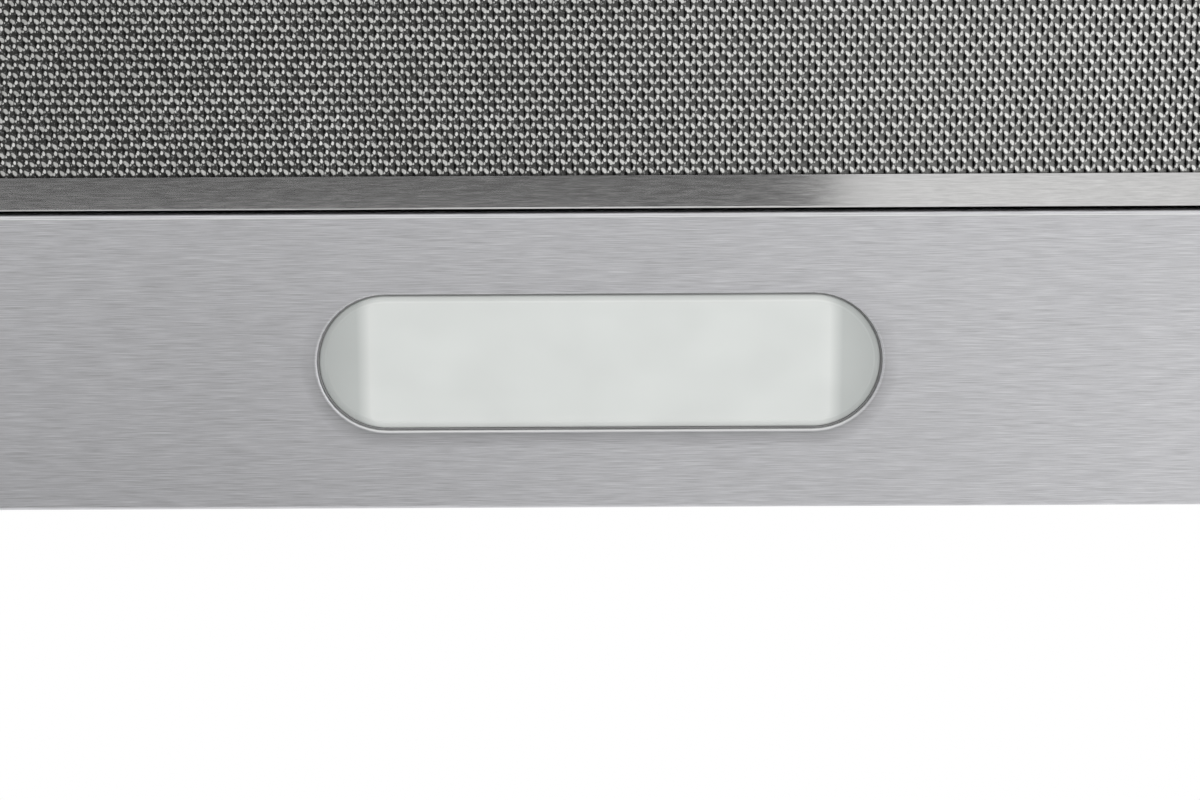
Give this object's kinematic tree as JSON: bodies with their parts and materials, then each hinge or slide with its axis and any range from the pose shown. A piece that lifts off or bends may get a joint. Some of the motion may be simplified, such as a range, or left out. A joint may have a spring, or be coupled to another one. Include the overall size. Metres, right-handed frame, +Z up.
{
  "type": "built-in range hood",
  "caption": "Built-in range hood for a cabinet floor: brushed steel underside with an oblong lamp, mesh grease filter, blower and duct outlet.",
  "frame": {"origin": "middle of the seat lip, in the plane of the cabinet's underside", "axes": "+X to the right seen from the cook, +Y towards the wall, +Z up into the cabinet"},
  "size_m": [0.56, 0.3, 0.2668],
  "materials": {
    "panel_steel": "fine horizontal brushing",
    "zinc_sheet": "galvanised sheet",
    "filter_aluminium": "satin folded sheet",
    "mesh_aluminium": "bright expanded mesh",
    "lens_glass": "frosted",
    "white_plastic": "smooth",
    "black_plastic": "fine grain",
    "grey_plastic": "satin",
    "button_plastic": "satin",
    "seal_rubber": "matt",
    "spring_steel": "bright",
    "plain_steel": "zinc plated",
    "motor_metal": "satin paint",
    "bearing_bronze": "plain",
    "capacitor_can": "smooth",
    "board_white": "white mask",
    "led_yellow": "clear",
    "lead_sleeve": "smooth sleeve"
  },
  "bodies": {
    "hood": {"button_bezel": "grey_plastic", "cabinet_clips_left": "spring_steel", "cabinet_clips_right": "spring_steel", "cable_gland": "black_plastic", "casing_body": "zinc_sheet", "clip_screws": "plain_steel", "collar_screws": "plain_steel", "compartment_cover": "zinc_sheet", "filter_ledge_left": "zinc_sheet", "filter_ledge_right": "zinc_sheet", "flap_pin": "plain_steel", "lamp_gasket": "seal_rubber", "lamp_housing": "white_plastic", "lamp_lead": "lead_sleeve", "lamp_lens": "lens_glass", "lamp_nuts": "plain_steel", "lamp_studs": "plain_steel", "latch_keeper_left": "spring_steel", "latch_keeper_right": "spring_steel", "led_board": "board_white", "led_chips": "led_yellow", "motor_bearings": "bearing_bronze", "motor_body": "motor_metal", "motor_grommets": "seal_rubber", "motor_lead": "lead_sleeve", "motor_spider": "zinc_sheet", "outlet_collar": "black_plastic", "run_capacitor": "capacitor_can", "scroll_half_left": "black_plastic", "scroll_half_right": "black_plastic", "switch_block": "black_plastic", "switch_lead": "lead_sleeve", "terminal_box": "black_plastic", "terminal_connector": "white_plastic", "terminal_lid": "black_plastic", "top_plate": "zinc_sheet", "top_plate_screws": "plain_steel", "underside_panel": "panel_steel"},
    "filter": {"filter_frame": "filter_aluminium", "filter_mesh_front": "mesh_aluminium", "filter_core": "mesh_aluminium", "filter_mesh_back": "mesh_aluminium", "filter_pivot_pins": "plain_steel", "latch_cup_left": "grey_plastic", "latch_cup_right": "grey_plastic", "latch_spring_left": "spring_steel", "latch_spring_right": "spring_steel"},
    "latch_left": {"latch_slider_left": "grey_plastic"},
    "latch_right": {"latch_slider_right": "grey_plastic"},
    "rotor": {"impeller": "black_plastic", "motor_shaft": "plain_steel"},
    "flap_front": {"damper_flap_front": "black_plastic"},
    "flap_rear": {"damper_flap_rear": "black_plastic"},
    "button_off": {"button_off": "button_plastic"},
    "button_speed_1": {"button_speed_1": "button_plastic"},
    "button_speed_2": {"button_speed_2": "button_plastic"},
    "button_speed_3": {"button_speed_3": "button_plastic"},
    "button_light": {"button_light": "button_plastic"}
  },
  "joints": [
    {"name": "filter_tilt", "type": "hinge", "parent": "hood", "child": "filter", "pos_m": [0, 0.125, -0.0105], "axis": [1, 0, 0], "range_deg": [0, 60], "deforming": ["latch_keeper_left", "latch_keeper_right"]},
    {"name": "latch_left_slide", "type": "slide", "parent": "filter", "child": "latch_left", "axis": [0, 1, 0], "range_m": [0, 0.005], "stiffness_N_per_m": 500, "springref_m": -0.002, "deforming": ["latch_spring_left"]},
    {"name": "latch_right_slide", "type": "slide", "parent": "filter", "child": "latch_right", "axis": [0, 1, 0], "range_m": [0, 0.005], "stiffness_N_per_m": 500, "springref_m": -0.002, "deforming": ["latch_spring_right"]},
    {"name": "rotor_spin", "type": "hinge", "parent": "hood", "child": "rotor", "pos_m": [0, 0.046, 0.11], "axis": [1, 0, 0], "continuous": true},
    {"name": "flap_front_swing", "type": "hinge", "parent": "hood", "child": "flap_front", "pos_m": [0, 0, 0.219], "axis": [-1, 0, 0], "range_deg": [0, 78]},
    {"name": "flap_rear_swing", "type": "hinge", "parent": "hood", "child": "flap_rear", "pos_m": [0, 0, 0.219], "axis": [1, 0, 0], "range_deg": [0, 78]},
    {"name": "button_off_press", "type": "slide", "parent": "hood", "child": "button_off", "axis": [0, 0, 1], "range_m": [0, 0.002], "stiffness_N_per_m": 700, "springref_m": -0.001},
    {"name": "button_speed_1_press", "type": "slide", "parent": "hood", "child": "button_speed_1", "axis": [0, 0, 1], "range_m": [0, 0.002], "stiffness_N_per_m": 700, "springref_m": -0.001},
    {"name": "button_speed_2_press", "type": "slide", "parent": "hood", "child": "button_speed_2", "axis": [0, 0, 1], "range_m": [0, 0.002], "stiffness_N_per_m": 700, "springref_m": -0.001},
    {"name": "button_speed_3_press", "type": "slide", "parent": "hood", "child": "button_speed_3", "axis": [0, 0, 1], "range_m": [0, 0.002], "stiffness_N_per_m": 700, "springref_m": -0.001},
    {"name": "button_light_press", "type": "slide", "parent": "hood", "child": "button_light", "axis": [0, 0, 1], "range_m": [0, 0.002], "stiffness_N_per_m": 700, "springref_m": -0.001}
  ]
}
